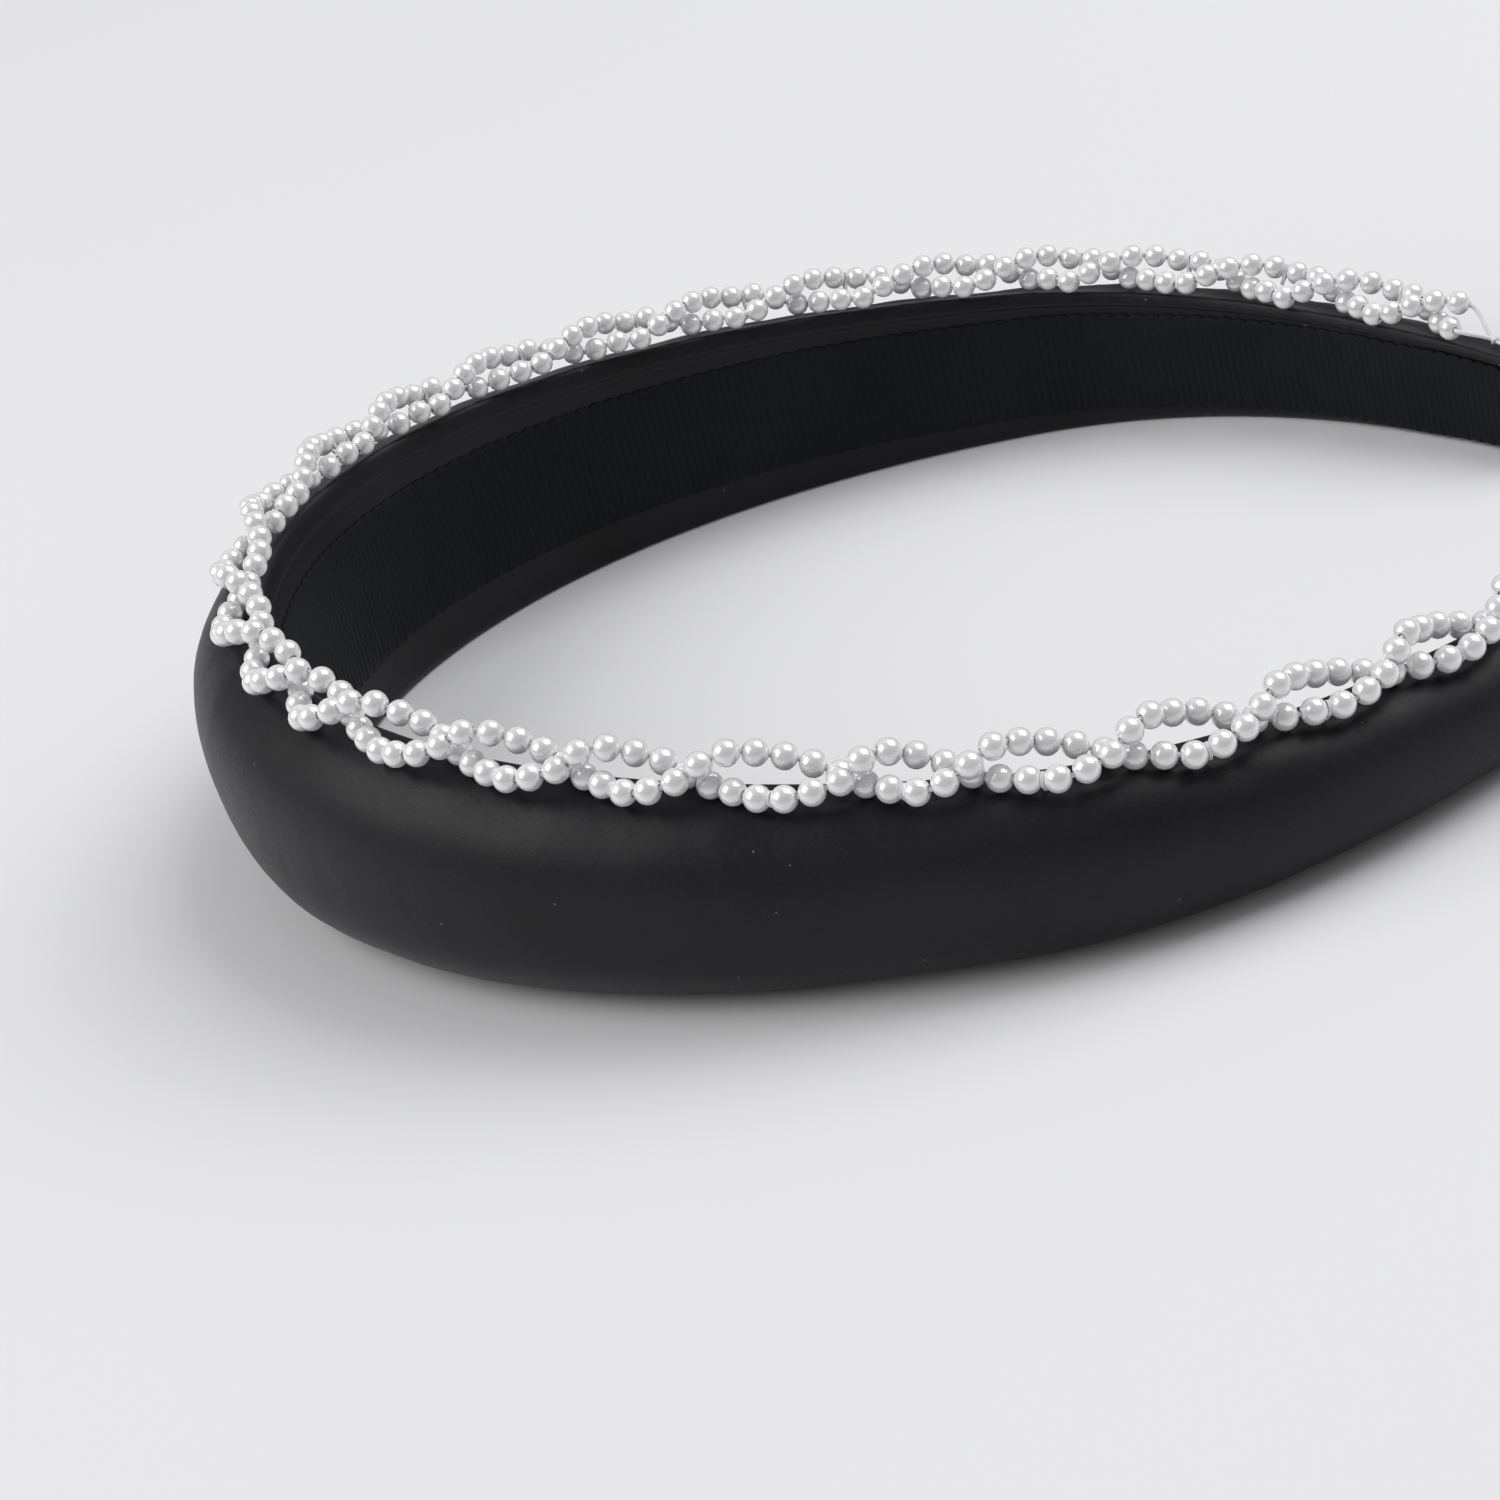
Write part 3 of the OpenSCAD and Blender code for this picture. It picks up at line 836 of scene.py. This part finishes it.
def pearl_material():
    m, nt, b = mat("pearl")
    v = coords(nt)
    n = node(nt, "ShaderNodeTexNoise", Scale=260.0, Detail=2.0, Roughness=0.5)
    nt.links.new(v, n.inputs["Vector"])
    big = node(nt, "ShaderNodeTexNoise", Scale=75.0, Detail=1.0, Roughness=0.5)
    nt.links.new(v, big.inputs["Vector"])
    tone = mix_val(nt, mix_val(nt, n.outputs["Fac"], 0.4, "MULTIPLY"), mix_val(nt, big.outputs["Fac"], 0.6, "MULTIPLY"))
    body = ramp(nt, tone, [(0.36, (0.955, 0.95, 0.96)), (0.50, (0.985, 0.975, 0.975)), (0.64, (0.96, 0.96, 0.975))])
    # painted reflection: the base colour is darker where the pearl faces the camera (the dark camera side reflected in
    # it) and lighter towards its edges (the bright floor reflected in it)
    lw = nt.nodes.new("ShaderNodeLayerWeight")
    lw.inputs["Blend"].default_value = 0.35
    painted_reflection_tone = ramp(nt, lw.outputs["Facing"], [(0.0, (0.80, 0.80, 0.81)), (0.30, (0.97, 0.97, 0.975)), (1.0, (1.0, 1.0, 1.0))])
    mx = nt.nodes.new("ShaderNodeMix")
    mx.data_type = "RGBA"
    mx.blend_type = "MULTIPLY"
    mx.inputs["Factor"].default_value = 1.0
    nt.links.new(body, mx.inputs["A"])
    nt.links.new(painted_reflection_tone, mx.inputs["B"])
    nt.links.new(mx.outputs["Result"], b.inputs["Base Color"])
    rr = nt.nodes.new("ShaderNodeMapRange")
    rr.inputs["To Min"].default_value = 0.20
    rr.inputs["To Max"].default_value = 0.28
    nt.links.new(n.outputs["Fac"], rr.inputs["Value"])
    nt.links.new(rr.outputs["Result"], b.inputs["Roughness"])
    fine = node(nt, "ShaderNodeTexNoise", Scale=1400.0, Detail=2.0)
    nt.links.new(v, fine.inputs["Vector"])
    nt.links.new(bump(nt, fine.outputs["Fac"], 0.05, 0.00002), b.inputs["Normal"])
    b.inputs["Specular IOR Level"].default_value = 0.6
    b.inputs["Metallic"].default_value = 0.28
    b.inputs["Coat Weight"].default_value = 0.7
    b.inputs["Coat Roughness"].default_value = 0.07
    b.inputs["Subsurface Weight"].default_value = 0.12
    b.inputs["Subsurface Radius"].default_value = (0.0012, 0.0010, 0.0011)
    b.inputs["Subsurface Scale"].default_value = 0.6
    return m


def plain(name, c0, c1, rough, scale, bump_s=0.1, spec=0.4, alpha=None):
    m, nt, b = mat(name)
    v = coords(nt)
    n = node(nt, "ShaderNodeTexNoise", Scale=scale, Detail=4.0, Roughness=0.6)
    nt.links.new(v, n.inputs["Vector"])
    nt.links.new(ramp(nt, n.outputs["Fac"], [(0.35, c0), (0.65, c1)]), b.inputs["Base Color"])
    rr = nt.nodes.new("ShaderNodeMapRange")
    rr.inputs["To Min"].default_value = max(0.02, rough - 0.08)
    rr.inputs["To Max"].default_value = min(1, rough + 0.08)
    nt.links.new(n.outputs["Fac"], rr.inputs["Value"])
    nt.links.new(rr.outputs["Result"], b.inputs["Roughness"])
    nt.links.new(bump(nt, n.outputs["Fac"], bump_s, 0.0001), b.inputs["Normal"])
    b.inputs["Specular IOR Level"].default_value = spec
    return m


M_SATIN = fabric("satin_black", (0.0026, 0.0026, 0.0036), (0.0098, 0.0098, 0.0130), 0.41, 2400.0, 0.035, 0.48, 0.25, lint=0.11)
M_RIBBON = fabric("grosgrain_black", (0.0045, 0.0055, 0.0068), (0.0090, 0.0105, 0.0125), 0.62, 3400.0, 0.05, 0.5, 0.14)
M_PEARL = pearl_material()
M_CORD = plain("nylon_cord", (0.72, 0.72, 0.74), (0.84, 0.84, 0.86), 0.28, 900.0)
M_THREAD = plain("sewing_thread", (0.70, 0.70, 0.73), (0.84, 0.84, 0.86), 0.6, 2500.0, 0.5)
M_CORE = plain("core_plastic", (0.03, 0.03, 0.033), (0.05, 0.05, 0.055), 0.42, 500.0)
M_FOAM = plain("sponge", (0.66, 0.63, 0.55), (0.84, 0.81, 0.73), 0.9, 1600.0, 0.8, 0.1)
M_GLUE = plain("dried_glue", (0.60, 0.56, 0.44), (0.74, 0.70, 0.58), 0.4, 700.0, 0.4)


def dress(ob, m):
    ob.data.materials.clear()
    ob.data.materials.append(m)


# ------------------------------------------------------------------ pieces
satin = make_satin()
dress(satin, M_SATIN)
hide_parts("satin_cover_left", "satin_cover_right")

ribbon, rib_w, rib_l = make_ribbon()
dress(ribbon, M_RIBBON)
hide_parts("lining_ribbon_left", "lining_ribbon_right")

core = make_bar("hoop_core", core_section, REACH - 2.8)
dress(core, M_CORE)
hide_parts("hoop_core_left", "hoop_core_right")

foam = make_bar("foam_pad", foam_section, REACH - 3.2, 1.5)
dress(foam, M_FOAM)
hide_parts("foam_pad_left", "foam_pad_right")

glue = make_bar("adhesive_film", glue_section, REACH - 7.5)
dress(glue, M_GLUE)
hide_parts("adhesive_film_left", "adhesive_film_right")

pearls = []
for k, tag in ((0, "a"), (1, "b")):
    ob = make_beads(k, f"pearls_{tag}")
    dress(ob, M_PEARL)
    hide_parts(f"beads_{tag}_left", f"beads_{tag}_right")
    pearls.append(ob)
    cd = make_cord(k, f"cord_{tag}")
    dress(cd, M_CORD)
    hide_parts(f"cord_{tag}_left", f"cord_{tag}_right")
    pearls.append(cd)

stitches = make_stitches()
dress(stitches, M_THREAD)
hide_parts("tacking_stitches_left", "tacking_stitches_right")

knots = []
for side, tag in ((-1, "left"), (1, "right")):
    kn = make_knot(side, f"knot_{tag}")
    dress(kn, M_CORD)
    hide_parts(f"end_knot_{tag}")
    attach(kn, f"{tag}_half")
    knots.append(kn)

for ob in [satin, ribbon, core, foam, glue, stitches] + pearls:
    bend(ob)

# ------------------------------------------------------------------ stage
fm, fnt, fb = mat("pale_floor")
fn = node(fnt, "ShaderNodeTexNoise", Scale=3.0, Detail=2.0)
fnt.links.new(coords(fnt), fn.inputs["Vector"])
fnt.links.new(ramp(fnt, fn.outputs["Fac"], [(0.3, (0.80, 0.80, 0.815)), (0.7, (0.815, 0.815, 0.825))]), fb.inputs["Base Color"])
fb.inputs["Roughness"].default_value = 0.75
fb.inputs["Specular IOR Level"].default_value = 0.25
bpy.ops.mesh.primitive_plane_add(size=8, location=(0, 0, 0))
floor = bpy.context.object
floor.name = "floor"
floor.data.materials.append(fm)


def area(name, loc, target, size, size_y, power, color=(1, 1, 1)):
    ld = bpy.data.lights.new(name, "AREA")
    ld.shape = "RECTANGLE"
    ld.size, ld.size_y, ld.energy, ld.color = size, size_y, power, color
    ob = bpy.data.objects.new(name, ld)
    ob.location = loc
    d = Vector(target) - Vector(loc)
    ob.rotation_euler = d.to_track_quat("-Z", "Y").to_euler()
    bpy.context.scene.collection.objects.link(ob)
    return ob


area("softbox_left", (-1.25, -0.40, 1.15), (0, 0, 0.02), 1.3, 1.3, 15.5, (1, 0.998, 0.995))
area("softbox_rear", (0.85, 0.45, 1.35), (0, 0, 0.02), 1.3, 1.3, 15.5, (0.995, 0.998, 1))

world = bpy.data.worlds.new("studio")
world.use_nodes = True
bg = world.node_tree.nodes["Background"]
bg.inputs["Color"].default_value = (0.95, 0.955, 0.97, 1)
bg.inputs["Strength"].default_value = 0.36
bpy.context.scene.world = world

# ------------------------------------------------------------------ camera
az, el, D, tx, ty, roll, f_px = 0.2049, 0.4639, 407.16, 55.68, -33.60, -0.2751, 3745.9
fw = -np.array([math.sin(az) * math.cos(el), -math.cos(az) * math.cos(el), math.sin(el)])
T = np.array([tx + SX, ty, 12.0])
C = T - fw * D
r = np.cross(fw, [0, 0, 1.0])
r /= np.linalg.norm(r)
u = np.cross(r, fw)
r2 = math.cos(roll) * r + math.sin(roll) * u
u2 = -math.sin(roll) * r + math.cos(roll) * u
cam_data = bpy.data.cameras.new("camera")
cam_data.sensor_width = 36.0
cam_data.lens = 36.0 * f_px / 1500.0
cam_data.clip_start = 0.01
cam = bpy.data.objects.new("camera", cam_data)
m4 = Matrix(((r2[0], u2[0], -fw[0], C[0] * MM), (r2[1], u2[1], -fw[1], C[1] * MM), (r2[2], u2[2], -fw[2], C[2] * MM), (0, 0, 0, 1)))
cam.matrix_world = m4
bpy.context.scene.collection.objects.link(cam)
bpy.context.scene.camera = cam
bpy.context.scene.view_settings.view_transform = "Standard"
bpy.context.scene.view_settings.look = "None"
